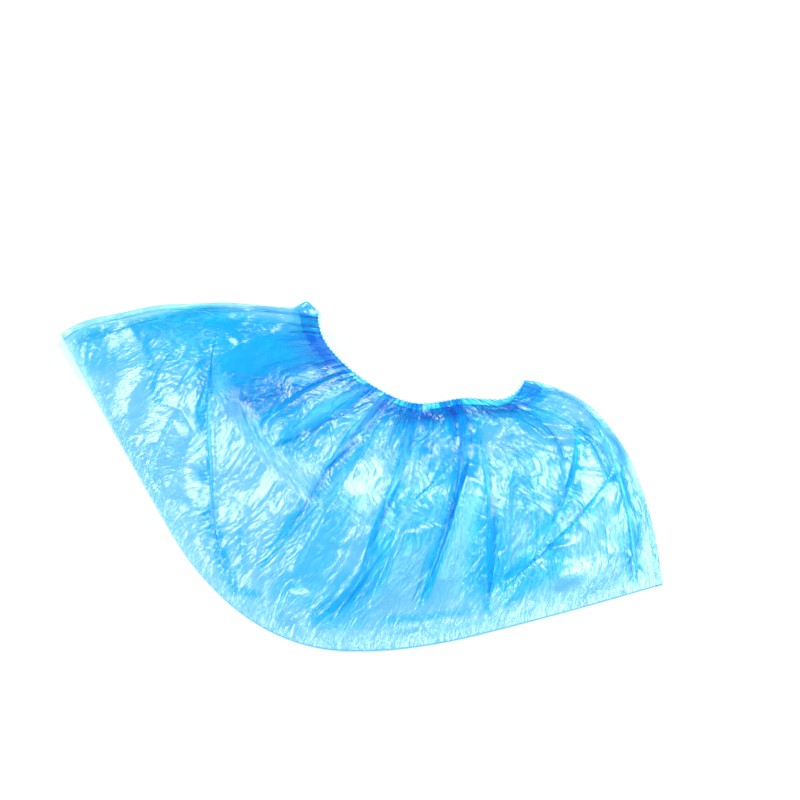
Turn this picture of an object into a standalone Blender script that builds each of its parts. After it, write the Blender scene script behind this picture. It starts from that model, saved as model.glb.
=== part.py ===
"""A disposable shoe cover of thin blue film, lying on its side with its elastic mouth relaxed.

Two layers of film are one piece, folded along the sole. Welded seams shut both ends, and a gathered
hem with an elastic thread rings the mouth. The under layer lies flat, the upper one is puffed up.

Frame: +X to the right along the cover, +Y from the sole fold towards the mouth, +Z up. The origin is
under the middle of the cover, on the surface that it lies on. Units are metres.
"""

import math

import bmesh
import bpy
import numpy as np

MM = 0.001

# Driving sizes of the cover, as cut and as it lies.
SOLE_LENGTH = 400 * MM      # along the fold at the sole: the film's cut length
SEAM_LENGTH = 138 * MM      # along the welded end at the left
MOUTH_LENGTH = 145 * MM     # along one side of the relaxed mouth
FILM_WALL = 1.0 * MM        # stands for film that is really 0.03 mm thick
HEM_WALL = 1.4 * MM         # the hem is two films
HEM_DEPTH = 11 * MM
ELASTIC_DIAMETER = 2.0 * MM
WELD_WIDTH = 3.5 * MM
WELD_THICKNESS = 1.4 * MM
GAP = 0.3 * MM              # between pieces that touch on the real one
HEM_GAP = 1.08 * MM         # between the hem and the film, whose gathers meet askew
ELASTIC_GAP = 0.6 * MM      # between the gathered hem and the elastic

# How high the upper layer stands above the surface, to the middle of its wall.
CROWN_HEIGHT = 20 * MM
MOUTH_HEIGHT = 13 * MM
END_HEIGHT = 3.6 * MM
FOLD_RADIUS = 2.0 * MM      # of the film's turn at the sole
GATHER_PITCH = 6 * MM       # from one gather to the next, along the relaxed mouth
GATHER_HEIGHT = 1.5 * MM    # from the middle to the top of a gather

# Each edge as it lies: (share of its length, heading in degrees from +X).
SOLE_TURNS = (
    (0.00, -61), (0.30, -60), (0.42, -42), (0.50, -24), (0.585, -2), (0.67, 8), (0.76, 14.5), (1.00, 17),
)
LEFT_TURNS = (
    (0.00, 48), (0.07, 22), (0.18, 14), (0.33, 12), (0.50, 7), (0.67, -1), (0.83, -6), (1.00, -9),
)
MOUTH_TURNS = (
    (0.00, -98), (0.10, -74), (0.18, -52), (0.30, -40), (0.45, -28), (0.53, -14), (0.61, 9), (0.69, 11),
    (0.76, -5), (0.84, -2), (0.91, 42), (1.00, 84),
)
# The right end runs from the mouth's end to the sole's: headings at its ends, and pulls as shares of its span.
RIGHT_LEAVES, RIGHT_LEAVING_PULL = -8, 1.12
RIGHT_ARRIVES, RIGHT_ARRIVING_PULL = -84, 1.34

# Main folds of the upper layer. Where each starts and ends: share along the cover from the left end, and
# share of the way from the mouth to the sole. Height is a share of CROWN_HEIGHT, and negative in a valley.
# Half width is a share of SOLE_LENGTH.
FOLD_COLUMNS = ("along_0", "down_0", "along_1", "down_1", "height", "half_width")
FOLDS = (
    (0.04, 0.35, 0.10, 1.00, 0.16, 0.022),
    (0.10, 0.25, 0.19, 0.95, -0.16, 0.020),
    (0.13, 0.15, 0.27, 0.95, 0.26, 0.024),
    (0.20, 0.05, 0.36, 0.92, -0.22, 0.022),
    (0.27, 0.05, 0.42, 0.90, 0.22, 0.024),
    (0.36, 0.05, 0.49, 0.88, -0.20, 0.020),
    (0.43, 0.05, 0.56, 0.95, 0.24, 0.022),
    (0.50, 0.05, 0.62, 0.92, -0.22, 0.020),
    (0.57, 0.05, 0.66, 0.90, 0.20, 0.020),
    (0.63, 0.05, 0.71, 0.92, -0.24, 0.022),
    (0.70, 0.05, 0.76, 0.90, 0.18, 0.020),
    (0.76, 0.05, 0.82, 0.92, -0.18, 0.020),
    (0.84, 0.08, 0.89, 0.88, 0.16, 0.020),
    (0.91, 0.15, 0.945, 0.95, -0.14, 0.016),
)

# Fineness of the meshes.
COLUMNS_PER_GATHER = 4
LAYER_ROWS = 10             # from the hem to the sole, in each layer
FOLD_STEPS = 4              # round the film's turn at the sole
HEM_ROWS = 2
ELASTIC_STEPS = 36          # along each side of the mouth
ELASTIC_TURN_STEPS = 5      # round each end of the mouth
EDGE_STEPS = 240            # to integrate an edge's curve


def clear_scene():
    for obj in list(bpy.data.objects):
        bpy.data.objects.remove(obj)


def turned_curve(start, length, turns):
    """Points of a curve of this length whose heading changes evenly between the rows of turns."""
    share = (np.arange(EDGE_STEPS) + 0.5) / EDGE_STEPS
    rows = np.array(turns, float)
    heading = np.radians(np.interp(share, rows[:, 0], rows[:, 1]))
    steps = np.stack([np.cos(heading), np.sin(heading)], axis=1) * length / EDGE_STEPS
    return np.concatenate([[start], start + np.cumsum(steps, axis=0)])


def pulled_curve(start, end, leaves, leaving_pull, arrives, arriving_pull):
    """A Hermite curve: each end's tangent is a heading in degrees, with a pull as a share of the span."""
    span = math.dist(start, end)
    t = np.linspace(0, 1, EDGE_STEPS + 1)[:, None]
    first = span * leaving_pull * np.array([math.cos(math.radians(leaves)), math.sin(math.radians(leaves))])
    last = span * arriving_pull * np.array([math.cos(math.radians(arrives)), math.sin(math.radians(arrives))])
    return (
        (2 * t**3 - 3 * t**2 + 1) * start
        + (t**3 - 2 * t**2 + t) * first
        + (3 * t**2 - 2 * t**3) * end
        + (t**3 - t**2) * last
    )


def length_of(points):
    return np.linalg.norm(np.diff(points, axis=0), axis=1).sum()


def point_at(points, share):
    """The point at a share of the curve's length, which may lie a little past either end."""
    along = np.concatenate([[0], np.cumsum(np.linalg.norm(np.diff(points, axis=0), axis=1))])
    along /= along[-1]
    inside = np.clip(share, 0, 1)
    place = np.stack([np.interp(inside, along, points[:, axis]) for axis in (0, 1)], axis=-1)
    first = (points[1] - points[0]) / (along[1] - along[0])
    last = (points[-1] - points[-2]) / (along[-1] - along[-2])
    slope = np.where((share < 0)[..., None], first, last)
    return place + (share - inside)[..., None] * slope


def make_edges():
    """The four edges of the laid cover, moved so that their box is centred on the origin."""
    corner = np.zeros(2)
    sole = turned_curve(corner, SOLE_LENGTH, SOLE_TURNS)
    left = turned_curve(corner, SEAM_LENGTH, LEFT_TURNS)
    mouth = turned_curve(left[-1], MOUTH_LENGTH, MOUTH_TURNS)
    right = pulled_curve(
        mouth[-1], sole[-1], RIGHT_LEAVES, RIGHT_LEAVING_PULL, RIGHT_ARRIVES, RIGHT_ARRIVING_PULL
    )
    everything = np.concatenate([sole, left, mouth, right])
    middle = (everything.min(axis=0) + everything.max(axis=0)) / 2
    return {
        "mouth": mouth - middle,
        "sole": sole - middle,
        "left": left[::-1] - middle,
        "right": right - middle,
    }


EDGES = make_edges()
FILM_DEPTH = (length_of(EDGES["left"]) + length_of(EDGES["right"])) / 2


def plan(along, down):
    """Where a point of the cover lies in plan: a Coons patch between the four edges.

    along is 0 at the left end and 1 at the right one, down is 0 at the mouth and 1 at the sole.
    """
    along, down = np.broadcast_arrays(np.asarray(along, float), np.asarray(down, float))
    mouth, sole = point_at(EDGES["mouth"], along), point_at(EDGES["sole"], along)
    left, right = point_at(EDGES["left"], down), point_at(EDGES["right"], down)
    u, v = along[..., None], down[..., None]
    corners = (
        (1 - u) * (1 - v) * EDGES["mouth"][0]
        + u * (1 - v) * EDGES["mouth"][-1]
        + (1 - u) * v * EDGES["sole"][0]
        + u * v * EDGES["sole"][-1]
    )
    return (1 - v) * mouth + v * sole + (1 - u) * left + u * right - corners


def row_length(down):
    return MOUTH_LENGTH + (SOLE_LENGTH - MOUTH_LENGTH) * np.clip(down, 0, 1)


def inset_along(share, down, inset):
    """A share of the way between two lines that lie inset from the ends, as a share of the whole row."""
    margin = inset / row_length(down)
    return margin + share * (1 - 2 * margin)


def smooth(t):
    t = np.clip(t, 0, 1)
    return t * t * (3 - 2 * t)


def layer_height(along, down):
    """Height of the upper layer's wall: a crown between the mouth, the ends and the sole fold, with its folds."""
    fold_top = FILM_WALL / 2 + 2 * FOLD_RADIUS
    across_ends = np.sqrt(np.clip(1 - np.abs(2 * along - 1) ** 2.6, 0, 1))
    mouth = END_HEIGHT + (MOUTH_HEIGHT - END_HEIGHT) * smooth(across_ends * 1.25)
    rise = smooth(down / 0.42)
    fall = smooth((1 - down) / 0.62)
    crown = END_HEIGHT + (CROWN_HEIGHT - END_HEIGHT) * across_ends
    height = mouth + (crown - mouth) * rise
    height = fold_top + (height - fold_top) * fall
    loose = across_ends * np.minimum(1, rise + 0.15) * fall
    for row in FOLDS:
        fold = dict(zip(FOLD_COLUMNS, row))
        t = (down - fold["down_0"]) / (fold["down_1"] - fold["down_0"])
        centre = fold["along_0"] + (fold["along_1"] - fold["along_0"]) * np.clip(t, 0, 1)
        width = fold["half_width"] * SOLE_LENGTH * (0.45 + 0.55 * np.clip(t, 0, 1))
        off = np.abs(along - centre) * row_length(down) / width
        ends = smooth(t / 0.25) * smooth((1 - t) / 0.3)
        height = height + fold["height"] * CROWN_HEIGHT * np.clip(1 - off**2, 0, 1) ** 2 * ends * loose
    return height


def gather_wave(along, down):
    """The gathers: one wave per pitch, full at the mouth and gone a third of the way down."""
    count = round(MOUTH_LENGTH / GATHER_PITCH)
    fade = 1 - smooth(down / 0.36)
    ends = smooth(along / 0.05) * smooth((1 - along) / 0.05)
    return GATHER_HEIGHT * np.cos(2 * math.pi * count * along) * fade * ends


def new_object(name, verts, faces, wall, material):
    mesh = bpy.data.meshes.new(name)
    mesh.from_pydata([tuple(v) for v in verts], [], faces)
    shape = bmesh.new()
    shape.from_mesh(mesh)
    bmesh.ops.recalc_face_normals(shape, faces=shape.faces)
    shape.to_mesh(mesh)
    shape.free()
    mesh.materials.append(material)
    mesh.shade_smooth()
    obj = bpy.data.objects.new(name, mesh)
    COVER.objects.link(obj)
    if wall:
        solidify = obj.modifiers.new("wall", "SOLIDIFY")
        solidify.thickness = wall
        solidify.offset = 0
    mesh.set_sharp_from_angle(angle=math.radians(50))
    return obj


def new_material(name, colour, roughness, alpha=1.0):
    material = bpy.data.materials.new(name)
    material.use_nodes = True
    shader = material.node_tree.nodes["Principled BSDF"]
    shader.inputs["Base Color"].default_value = (*colour, 1)
    shader.inputs["Roughness"].default_value = roughness
    shader.inputs["Metallic"].default_value = 0
    shader.inputs["Alpha"].default_value = alpha
    return material


def strip_faces(rows, columns, closed_rows=False):
    """Quads of a grid whose points are listed row by row. With closed_rows, each row runs round."""
    row, column = np.meshgrid(np.arange(rows - 1), np.arange(columns if closed_rows else columns - 1), indexing="ij")
    after = (column + 1) % columns
    quads = np.stack([row * columns + column, row * columns + after,
                      (row + 1) * columns + after, (row + 1) * columns + column], axis=-1)
    return quads.reshape(-1, 4).tolist()


def column_count():
    return COLUMNS_PER_GATHER * round(MOUTH_LENGTH / GATHER_PITCH) + 1


def build_film_body(material):
    """The pouch: the upper layer, the turn at the sole, the flat under layer, and a low wall at each end."""
    columns = column_count()
    share = np.linspace(0, 1, columns)
    first_row = (HEM_DEPTH + HEM_GAP) / FILM_DEPTH
    last_row = 1 - (FOLD_RADIUS + FILM_WALL / 2) / FILM_DEPTH
    inset = WELD_WIDTH + GAP + FILM_WALL / 2
    rows = []
    for down in np.linspace(first_row, last_row, LAYER_ROWS):
        along = inset_along(share, down, inset)
        rows.append((down, layer_height(along, down) + gather_wave(along, down)))
    turn_centre = FILM_WALL / 2 + FOLD_RADIUS
    for angle in np.linspace(math.pi / 2, -math.pi / 2, FOLD_STEPS + 1)[1:-1]:
        down = last_row + FOLD_RADIUS * math.cos(angle) / FILM_DEPTH
        rows.append((down, np.full(columns, turn_centre + FOLD_RADIUS * math.sin(angle))))
    for down in np.linspace(last_row, first_row, LAYER_ROWS):
        rows.append((down, np.full(columns, FILM_WALL / 2)))

    verts = []
    for down, height in rows:
        place = plan(inset_along(share, down, inset), down)
        verts.append(np.column_stack([place, height]))
    verts = np.concatenate(verts)
    count = len(rows)
    faces = strip_faces(count, columns)
    for k in range(count // 2):
        mate = count - 1 - k
        for column in (0, columns - 1):
            corners = [k * columns + column, (k + 1) * columns + column,
                       (mate - 1) * columns + column, mate * columns + column]
            faces.append(list(dict.fromkeys(corners)))
    return new_object("film_body", verts, faces, FILM_WALL, material)


def mouth_loop(down):
    """A closed row round the mouth at this depth: along the upper layer, down the right end, back underneath."""
    share = np.linspace(0, 1, column_count())
    inset = WELD_WIDTH + GAP + FILM_WALL / 2
    along = inset_along(share, down, inset)
    place = plan(along, down)
    upper = np.column_stack([place, layer_height(along, down) + gather_wave(along, down)])
    under = np.column_stack([place, np.full(len(share), HEM_WALL / 2)])
    return np.concatenate([upper, under[::-1]])


def build_rim_hem(material):
    rows = [mouth_loop(down) for down in np.linspace(0, HEM_DEPTH / FILM_DEPTH, HEM_ROWS + 1)]
    faces = strip_faces(len(rows), len(rows[0]), closed_rows=True)
    return new_object("rim_hem", np.concatenate(rows), faces, HEM_WALL, material)


def build_elastic_edge(material):
    """The elastic: a ring just past the hem's edge, up one layer's side, round each end and back."""
    radius = ELASTIC_DIAMETER / 2
    beyond = ELASTIC_GAP + radius
    share = np.linspace(0, 1, ELASTIC_STEPS)
    inset = WELD_WIDTH + GAP + FILM_WALL / 2
    along = inset_along(share, 0, inset)
    edge = plan(along, 0)
    run = np.gradient(edge, axis=0)
    away = np.column_stack([-run[:, 1], run[:, 0]]) / np.linalg.norm(run, axis=1)[:, None]
    place = edge + away * beyond
    upper = np.column_stack([place, layer_height(along, 0)])
    under = np.column_stack([place, np.full(ELASTIC_STEPS, radius)])
    turns = []
    for end, other, side in ((upper[-1], under[-1], place[-1] - place[-2]), (under[0], upper[0], place[0] - place[1])):
        middle = (end + other) / 2
        reach = abs(end[2] - other[2]) / 2
        outward = np.append(side / np.linalg.norm(side), 0) * min(reach, WELD_WIDTH / 2)
        angles = np.linspace(0, math.pi, ELASTIC_TURN_STEPS + 2)[1:-1, None]
        turns.append(middle + (end - middle) * np.cos(angles) + outward * np.sin(angles))
    route = np.concatenate([upper, turns[0], under[::-1], turns[1]])
    curve = bpy.data.curves.new("elastic_edge", "CURVE")
    curve.dimensions = "3D"
    spline = curve.splines.new("POLY")
    spline.points.add(len(route) - 1)
    spline.points.foreach_set("co", np.column_stack([route, np.ones(len(route))]).ravel())
    spline.use_cyclic_u = True
    curve.bevel_depth = radius
    curve.bevel_resolution = 1
    curve.materials.append(material)
    obj = bpy.data.objects.new("elastic_edge", curve)
    COVER.objects.link(obj)
    return obj


def build_weld(name, at_right, material):
    """A welded strip along one end, flat on the surface, from the mouth to the sole fold."""
    downs = np.linspace(0, 1, LAYER_ROWS * 2)
    rows = []
    for distance in np.linspace(0, WELD_WIDTH, 2):
        share = distance / row_length(downs)
        rows.append(plan(1 - share if at_right else share, downs))
    verts = np.concatenate([np.column_stack([row, np.full(len(row), WELD_THICKNESS / 2)]) for row in rows])
    return new_object(name, verts, strip_faces(2, len(downs)), WELD_THICKNESS, material)


def build_cover():
    film = new_material("blue_film", (0.16, 0.62, 0.88), 0.25, 0.75)
    hem = new_material("blue_hem", (0.03, 0.42, 0.80), 0.3)
    elastic = new_material("pale_elastic", (0.62, 0.88, 0.92), 0.6)
    build_film_body(film)
    build_rim_hem(hem)
    build_elastic_edge(elastic)
    build_weld("heel_seam", False, hem)
    build_weld("toe_seam", True, hem)


clear_scene()
COVER = bpy.data.collections.new("shoe_cover")
bpy.context.scene.collection.children.link(COVER)
build_cover()
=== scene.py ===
# %% [markdown]
# # A disposable shoe cover of blue film
# The cover is two layers of very thin polyethylene film that are one piece, folded along the sole.
# Its two ends are welded shut, and an elastic thread gathers its mouth to a third of its cut length.
# The looks come from three things: how the gathered film folds, how light is coloured once more by
# each layer that it passes, and the sharp small glints of a crinkled plastic surface.
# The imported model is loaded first, as a fixed frame, and every piece is made in its place.

# %% Load the frame
import math

import bpy
import numpy as np
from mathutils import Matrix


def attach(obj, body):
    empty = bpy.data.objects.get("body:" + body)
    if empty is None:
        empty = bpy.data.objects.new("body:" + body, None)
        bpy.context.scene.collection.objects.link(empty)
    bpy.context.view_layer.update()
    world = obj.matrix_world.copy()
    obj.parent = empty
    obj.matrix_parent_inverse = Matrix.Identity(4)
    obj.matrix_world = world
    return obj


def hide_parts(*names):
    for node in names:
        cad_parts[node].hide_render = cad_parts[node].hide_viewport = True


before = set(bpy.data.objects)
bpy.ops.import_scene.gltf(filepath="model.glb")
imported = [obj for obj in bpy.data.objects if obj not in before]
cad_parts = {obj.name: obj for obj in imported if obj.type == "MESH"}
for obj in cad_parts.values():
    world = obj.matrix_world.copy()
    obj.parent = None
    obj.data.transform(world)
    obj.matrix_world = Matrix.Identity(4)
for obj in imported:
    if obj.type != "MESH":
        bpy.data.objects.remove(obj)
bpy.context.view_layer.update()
print("solids:", ", ".join(sorted(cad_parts)))

# %% [markdown]
# ## Sizes
# The sizes below are those of the cover as it is cut, and of how it lies. An edge that lies in a
# curve is given by its true length and by the headings that it turns through, because film can't
# stretch: the length is a fact of the product, and the headings are read from the photograph.

# %% Name the sizes
MM = 0.001
SOLE_LENGTH = 400 * MM      # of the fold at the sole, which is the film's cut length
SEAM_LENGTH = 138 * MM      # of the left weld
MOUTH_LENGTH = 145 * MM     # of one side of the mouth, as the elastic holds it
HEM_DEPTH = 11 * MM
WELD_WIDTH = 3.5 * MM
ELASTIC_DIAMETER = 1.2 * MM
CROWN_HEIGHT = 15 * MM      # how high the film stands, and how high the mouth does: both guessed
MOUTH_HEIGHT = 10 * MM

SOLE_TURNS = (              # share of the way along the edge, and its heading there in degrees
    (0.00, -61), (0.30, -60), (0.42, -42), (0.50, -24), (0.585, -2), (0.67, 8), (0.76, 14.5), (1.00, 17),
)
LEFT_TURNS = (
    (0.00, 48), (0.07, 22), (0.18, 14), (0.33, 12), (0.50, 7), (0.67, -1), (0.83, -6), (1.00, -9),
)
MOUTH_TURNS = (
    (0.00, -98), (0.10, -74), (0.18, -52), (0.30, -40), (0.45, -28), (0.53, -14), (0.61, 9), (0.69, 11),
    (0.76, -5), (0.84, -2), (0.91, 42), (1.00, 84),
)
# The right weld closes the outline, so it is given by its two corners and by how it meets them.
RIGHT_LEAVES, RIGHT_LEAVING_PULL = -8, 1.12
RIGHT_ARRIVES, RIGHT_ARRIVING_PULL = -84, 1.34
EDGE_STEPS = 240
print("the mouth is gathered to %.2f of its cut length" % (MOUTH_LENGTH / SOLE_LENGTH))

# %% [markdown]
# ## The plan of the laid cover
# Four edge curves bound the cover: the mouth, the sole fold and the two welded ends. A Coons patch
# fills them with a smooth net, so that a point is named by two shares: how far along from the left
# end, and how far down from the mouth. Everything else is drawn on this net, as a tailor marks a
# cloth, and so it follows when an edge is changed.

# %% Draw the edges


def turned_curve(start, length, turns):
    """Points of a curve of this length, whose heading in degrees changes evenly between the rows."""
    share = (np.arange(EDGE_STEPS) + 0.5) / EDGE_STEPS
    rows = np.array(turns, float)
    heading = np.radians(np.interp(share, rows[:, 0], rows[:, 1]))
    steps = np.stack([np.cos(heading), np.sin(heading)], axis=1) * length / EDGE_STEPS
    return np.concatenate([[start], start + np.cumsum(steps, axis=0)])


def heading_of(degrees):
    """A step of length 1 in this heading."""
    return np.array([math.cos(math.radians(degrees)), math.sin(math.radians(degrees))])


def pulled_curve(start, end, leaves, leaving_pull, arrives, arriving_pull):
    """A Hermite curve: each end's tangent is a heading in degrees, with a pull as a share of the span."""
    span = math.dist(start, end)
    t = np.linspace(0, 1, EDGE_STEPS + 1)[:, None]
    first = span * leaving_pull * heading_of(leaves)
    last = span * arriving_pull * heading_of(arrives)
    return (
        (2 * t**3 - 3 * t**2 + 1) * start
        + (t**3 - 2 * t**2 + t) * first
        + (3 * t**2 - 2 * t**3) * end
        + (t**3 - t**2) * last
    )


def point_at(points, share):
    """The point at a share of the curve's length, which may lie a little past either end."""
    along = np.concatenate([[0], np.cumsum(np.linalg.norm(np.diff(points, axis=0), axis=1))])
    along /= along[-1]
    inside = np.clip(share, 0, 1)
    place = np.stack([np.interp(inside, along, points[:, axis]) for axis in (0, 1)], axis=-1)
    first = (points[1] - points[0]) / (along[1] - along[0])
    last = (points[-1] - points[-2]) / (along[-1] - along[-2])
    slope = np.where((share < 0)[..., None], first, last)
    return place + (share - inside)[..., None] * slope


def make_edges():
    """The four edges as they lie, moved so that their box is centred on the origin."""
    corner = np.zeros(2)
    sole = turned_curve(corner, SOLE_LENGTH, SOLE_TURNS)
    left = turned_curve(corner, SEAM_LENGTH, LEFT_TURNS)
    mouth = turned_curve(left[-1], MOUTH_LENGTH, MOUTH_TURNS)
    right = pulled_curve(
        mouth[-1], sole[-1], RIGHT_LEAVES, RIGHT_LEAVING_PULL, RIGHT_ARRIVES, RIGHT_ARRIVING_PULL
    )
    everything = np.concatenate([sole, left, mouth, right])
    middle = (everything.min(axis=0) + everything.max(axis=0)) / 2
    return {
        "mouth": mouth - middle,
        "sole": sole - middle,
        "left": left[::-1] - middle,
        "right": right - middle,
    }


EDGES = make_edges()


def length_of(points):
    """The curve's length: the sum of its steps."""
    return float(np.linalg.norm(np.diff(points, axis=0), axis=1).sum())


FILM_DEPTH = (length_of(EDGES["left"]) + length_of(EDGES["right"])) / 2
print("mouth, sole, ends: %.0f, %.0f, %.0f and %.0f mm" % tuple(
    length_of(EDGES[name]) / MM for name in ("mouth", "sole", "left", "right")))

# %% Fill the edges with a net


def plan(along, down):
    """The net's point: (1-v) mouth + v sole + (1-u) left + u right, less the four corners' own share."""
    along, down = np.broadcast_arrays(np.asarray(along, float), np.asarray(down, float))
    mouth, sole = point_at(EDGES["mouth"], along), point_at(EDGES["sole"], along)
    left, right = point_at(EDGES["left"], down), point_at(EDGES["right"], down)
    u, v = along[..., None], down[..., None]
    corners = (
        (1 - u) * (1 - v) * EDGES["mouth"][0]
        + u * (1 - v) * EDGES["mouth"][-1]
        + (1 - u) * v * EDGES["sole"][0]
        + u * v * EDGES["sole"][-1]
    )
    return (1 - v) * mouth + v * sole + (1 - u) * left + u * right - corners


def row_length(down):
    """Length of the net's row at this share of the way down, from the mouth's to the sole's."""
    return MOUTH_LENGTH + (SOLE_LENGTH - MOUTH_LENGTH) * np.clip(down, 0, 1)


def smooth(t):
    """Eases from 0 to 1 as t does, flat at both ends: 3 t^2 - 2 t^3."""
    t = np.clip(t, 0, 1)
    return t * t * (3 - 2 * t)


print("the net's middle is at %.0f, %.0f mm" % tuple(plan(0.5, 0.5) / MM))

# %% [markdown]
# ## How gathered film folds
# A row of the film is always 400 mm long, but the row of the net that it lies along is shorter
# towards the mouth. The spare length is laid in pleats, as a tailor lays them: the film runs over its
# neighbour, turns back, and turns forward again, so three layers lie on each other over the pleat's
# band. A pleat of band b takes up 2 b of film, and so the bands of a row add up to half of its
# spare length. Each pleat is charted by its line on the net, by the width of its band, and by the
# side that it leans to. The fine gathers share what the charted pleats of their row leave.
# One very broad pleat left of the middle of the mouth makes the deep blue there.
# Cloth simulation could gather the film by itself, but it would lay the pleats where it likes, so
# they are charted here from their places on the real one.

# %% Chart the pleats
PLEAT_COLUMNS = (
    "along_0", "down_0", "along_1", "down_1", "band_0_mm", "band_1_mm", "lean", "height_mm", "fade", "fine",
)
UPPER_PLEATS = (            # lean is 1 to the right and -1 to the left, and fade a share of the way down
    (0.020, 0.00, 0.020, 0.97, 1.0, 1.0, -1, 1.5, 0.3),
    (0.196, 0.00, 0.180, 0.62, 30.0, 56.0, -1, 2.5, 0.12),
    (0.110, 0.48, 0.145, 0.74, 5.0, 5.0, 1, 3.0, 0.15),
    (0.070, 0.60, 0.130, 0.86, 2.0, 2.0, -1, 2.0, 0.2),
    (0.040, 0.40, 0.415, 0.98, 5.0, 5.0, -1, 3.0, 0.2),
    (0.390, 0.00, 0.322, 0.62, 11.0, 16.0, -1, 3.0, 0.30),
    (0.455, 0.00, 0.425, 0.56, 8.0, 8.0, -1, 2.5, 0.25),
    (0.475, 0.40, 0.420, 0.94, 1.5, 1.5, 1, 2.0, 0.3),
    (0.530, 0.00, 0.525, 0.34, 6.0, 5.0, 1, 1.5, 0.15),
    (0.562, 0.00, 0.558, 0.76, 7.0, 5.0, -1, 3.0, 0.2),
    (0.590, 0.62, 0.550, 0.95, 3.5, 3.5, -1, 2.0, 0.2),
    (0.660, 0.00, 0.665, 0.32, 7.0, 6.0, -1, 1.5, 0.14),
    (0.705, 0.00, 0.660, 0.92, 7.0, 5.0, -1, 3.0, 0.25),
    (0.690, 0.30, 0.560, 0.62, 2.5, 2.5, 1, 2.0, 0.2),
    (0.720, 0.25, 0.768, 0.93, 5.0, 5.0, -1, 2.5, 0.2),
    (0.790, 0.00, 0.880, 0.36, 2.0, 2.0, -1, 2.0, 0.2),
    (0.835, 0.00, 0.930, 0.36, 2.0, 2.0, -1, 2.0, 0.2),
    (0.880, 0.02, 0.965, 0.45, 2.0, 2.0, -1, 2.0, 0.2),
    (0.950, 0.25, 0.815, 0.80, 4.0, 4.0, 1, 2.5, 0.25),
    (0.995, 0.48, 0.750, 0.92, 3.5, 3.5, 1, 2.0, 0.2),
    (0.930, 0.58, 0.936, 0.99, 1.0, 1.0, -1, 1.5, 0.2),
    (0.978, 0.30, 0.974, 0.99, 4.0, 4.0, -1, 2.0, 0.15),
)
UNDER_PLEATS = (
    (0.440, 0.00, 0.430, 0.75, 8.0, 8.0, 1, 0.8, 0.3),
    (0.540, 0.00, 0.560, 0.80, 6.0, 6.0, -1, 0.8, 0.3),
    (0.600, 0.00, 0.590, 0.40, 8.0, 8.0, -1, 0.8, 0.2),
    (0.690, 0.00, 0.650, 0.90, 8.0, 8.0, -1, 0.8, 0.3),
    (0.740, 0.30, 0.765, 0.95, 4.0, 4.0, -1, 0.8, 0.2),
    (0.790, 0.00, 0.830, 0.85, 4.0, 4.0, 1, 0.8, 0.3),
    (0.880, 0.00, 0.910, 0.80, 4.0, 4.0, -1, 0.8, 0.3),
    (0.960, 0.20, 0.968, 0.98, 5.0, 5.0, -1, 0.8, 0.2),
)
GATHERS = 36                # fine gathers along one side of the mouth
SMALL_PLEATS = 10           # between the charted ones, at chance places
GATHER_FADE, SMALL_FADE = 0.15, 0.3     # of the way down, over which one of these runs out
GATHERED_TO = 0.93          # past this share of the mouth its hem lies flat, as a plain rectangle
LOOSE_SHARE = 0.08          # of the spare film, taken up by looseness and not by pleats
MOST_WIDENING = 1.6         # how much wider than charted the fine gathers may get to use up spare film


def even_places(count):
    """The middles of this many equal parts of the gathered length of the mouth."""
    return (np.arange(count) + 0.5) / count * GATHERED_TO


def pleat_table(charted, seed, flat):
    """All the pleats of a layer as columns: the charted ones, small ones and fine gathers.

    The last two kinds lie at even places, each moved by chance by up to a third of the spacing.
    """
    rng = np.random.default_rng(seed)
    rows = [[*row, 0] for row in charted]
    for place in even_places(SMALL_PLEATS):
        start = place + rng.uniform(-0.35, 0.35) / SMALL_PLEATS
        end, reach = start + rng.uniform(-0.03, 0.03), rng.uniform(0.3, 0.7)
        band = rng.uniform(0.2, 0.7)
        lean, height = rng.choice([-1, 1]), flat * rng.uniform(1.2, 2.2)
        rows.append([start, 0.0, end, reach, band, band, lean, height, SMALL_FADE, 1])
    for place in even_places(GATHERS):
        start = place + rng.uniform(-0.3, 0.3) / GATHERS
        end, reach = start + rng.uniform(-0.01, 0.01), 0.16 + 0.34 * rng.random() ** 2
        band = rng.uniform(0.8, 1.6)
        lean, height = rng.choice([-1, 1]), flat * rng.uniform(0.8, 1.4)
        rows.append([start, 0.0, end, reach, band, band, lean, height, GATHER_FADE, 1])
    return dict(zip(PLEAT_COLUMNS, np.array(rows, float).T))


UPPER, UNDER = pleat_table(UPPER_PLEATS, 5, 1.0), pleat_table(UNDER_PLEATS, 9, 0.4)
print(len(UPPER_PLEATS), "pleats charted on the upper layer and", len(UNDER_PLEATS), "on the under one")

# %% [markdown]
# ### How wide each pleat is in each row
# A band runs between its two charted widths, starts softly where its pleat starts below the mouth,
# and fades out at its end. The charted pleats take the row's spare film first. The fine gathers
# share the rest, and widen a little if there is plenty.

# %% Share out the spare film of each row
START_FADE = 0.16           # of the way down, over which a pleat that starts below the mouth grows


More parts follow.
